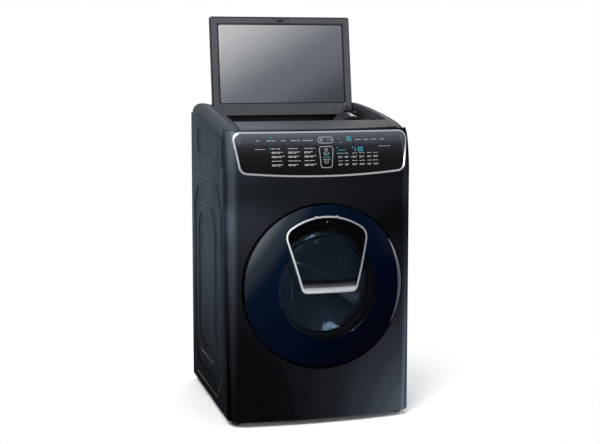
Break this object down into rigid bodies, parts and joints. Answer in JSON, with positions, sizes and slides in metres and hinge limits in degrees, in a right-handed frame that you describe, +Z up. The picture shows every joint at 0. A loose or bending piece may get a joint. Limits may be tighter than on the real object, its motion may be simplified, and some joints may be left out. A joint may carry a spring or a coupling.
{
  "type": "two-in-one washing machine",
  "caption": "Front-loading washing machine with a round door and an add-item door, a sloped touch console and a small top-loading washer under a hinged lid.",
  "frame": {"origin": "on the floor, under the middle of the machine's overall width and depth", "axes": "+X to the viewer's right, +Y from the front door to the rear, +Z up"},
  "size_m": [0.686, 0.815, 1.4698],
  "materials": {
    "black_metal": "dark metallic lacquer",
    "slate_metal": "dark grey metallic lacquer",
    "zinc_sheet": "galvanised sheet",
    "grey_trim": "satin grey plastic",
    "dark_plastic": "fine matte plastic",
    "gloss_black": "polished black",
    "chrome": "polished",
    "navy_gloss": "polished dark blue",
    "dark_glass": "dark tinted",
    "clear_glass": "clear",
    "steel": "brushed stainless",
    "cast_alloy": "cast",
    "iron": "cast",
    "rubber": "matte",
    "pale_plastic": "moulded",
    "board_green": "potted board"
  },
  "bodies": {
    "cabinet": {"base_frame": "zinc_sheet", "right_side_panel": "slate_metal", "left_side_panel": "slate_metal", "rear_panel": "zinc_sheet", "rear_access_cover": "zinc_sheet", "panel_screws": "steel", "front_panel": "black_metal", "top_cover": "black_metal", "console_surround": "black_metal", "console_fascia": "gloss_black", "console_trim": "chrome", "key_rings": "chrome", "control_board": "board_green", "deck_strip": "grey_trim", "tub_deck": "grey_trim", "dispenser_housing": "grey_trim", "upper_tub": "pale_plastic", "hanger_rods": "steel", "upper_motor": "iron", "lid_hinge_pins": "steel", "tub_front": "pale_plastic", "tub_rear": "pale_plastic", "drum_bearings": "steel", "stator": "iron", "door_gasket": "rubber", "counterweights": "iron", "suspension_springs": "steel", "dampers": "dark_plastic", "drain_pump": "pale_plastic", "inlet_valves": "pale_plastic", "drain_outlet": "dark_plastic", "cord_inlet": "dark_plastic", "door_hinge": "cast_alloy", "door_lock": "dark_plastic"},
    "door": {"door_cover": "navy_gloss", "door_window": "dark_glass", "door_ring": "dark_plastic", "door_handle": "slate_metal", "door_bowl": "clear_glass", "door_hinge_arm": "cast_alloy"},
    "add_door": {"add_door_trim": "chrome", "add_door_glass": "dark_glass", "add_door_handle": "chrome"},
    "lid": {"lid_shell": "black_metal", "lid_frame": "dark_plastic", "lid_inner_panel": "grey_trim", "lid_hinge_cover": "dark_plastic"},
    "drum": {"basket": "steel", "lifters": "pale_plastic", "spider_shaft": "cast_alloy", "rotor": "iron"},
    "upper_basket": {"upper_basket": "steel"},
    "pulsator": {"pulsator": "pale_plastic"},
    "drawer": {"dispenser_drawer": "dark_plastic"},
    "filter_flap": {"filter_cover": "black_metal"},
    "filter_plug": {"drain_filter": "dark_plastic"},
    "front_left_foot": {"foot_front_left": "rubber"},
    "front_right_foot": {"foot_front_right": "rubber"},
    "rear_left_foot": {"foot_rear_left": "rubber"},
    "rear_right_foot": {"foot_rear_right": "rubber"}
  },
  "joints": [
    {"name": "lid_hinge", "type": "hinge", "parent": "cabinet", "child": "lid", "pos_m": [0, 0.2155, 1.092], "axis": [1, 0, 0], "range_deg": [0, 106]},
    {"name": "door_hinge", "type": "hinge", "parent": "cabinet", "child": "door", "pos_m": [-0.276, -0.3265, 0.502], "axis": [0, 0, -1], "range_deg": [0, 120]},
    {"name": "add_door_hinge", "type": "hinge", "parent": "door", "child": "add_door", "pos_m": [0, -0.35369, 0.7525], "axis": [-1, 0, 0], "range_deg": [0, 70]},
    {"name": "drum_spin", "type": "hinge", "parent": "cabinet", "child": "drum", "pos_m": [0, 0.0055, 0.502], "axis": [0, 1, 0], "continuous": true},
    {"name": "upper_basket_spin", "type": "hinge", "parent": "cabinet", "child": "upper_basket", "pos_m": [-0.045, 0.021, 0.9], "axis": [0, 0, 1], "continuous": true},
    {"name": "pulsator_spin", "type": "hinge", "parent": "cabinet", "child": "pulsator", "pos_m": [-0.045, 0.021, 0.88], "axis": [0, 0, 1], "continuous": true},
    {"name": "drawer_slide", "type": "slide", "parent": "cabinet", "child": "drawer", "axis": [0, -0.9914, -0.1305], "range_m": [0, 0.06]},
    {"name": "filter_flap_hinge", "type": "hinge", "parent": "cabinet", "child": "filter_flap", "pos_m": [-0.178, -0.32522, 0.0418], "axis": [0.9966, -0.0827, 0], "range_deg": [0, 95]},
    {"name": "filter_turn", "type": "hinge", "parent": "cabinet", "child": "filter_plug", "pos_m": [-0.178, -0.2445, 0.09], "axis": [0, 1, 0], "range_deg": [0, 90]},
    {"name": "front_left_foot_turn", "type": "hinge", "parent": "cabinet", "child": "front_left_foot", "pos_m": [-0.303, -0.2495, 0.01], "axis": [0, 0, 1], "continuous": true},
    {"name": "front_right_foot_turn", "type": "hinge", "parent": "cabinet", "child": "front_right_foot", "pos_m": [0.303, -0.2495, 0.01], "axis": [0, 0, 1], "continuous": true},
    {"name": "rear_left_foot_turn", "type": "hinge", "parent": "cabinet", "child": "rear_left_foot", "pos_m": [-0.303, 0.3555, 0.01], "axis": [0, 0, 1], "continuous": true},
    {"name": "rear_right_foot_turn", "type": "hinge", "parent": "cabinet", "child": "rear_right_foot", "pos_m": [0.303, 0.3555, 0.01], "axis": [0, 0, 1], "continuous": true}
  ]
}
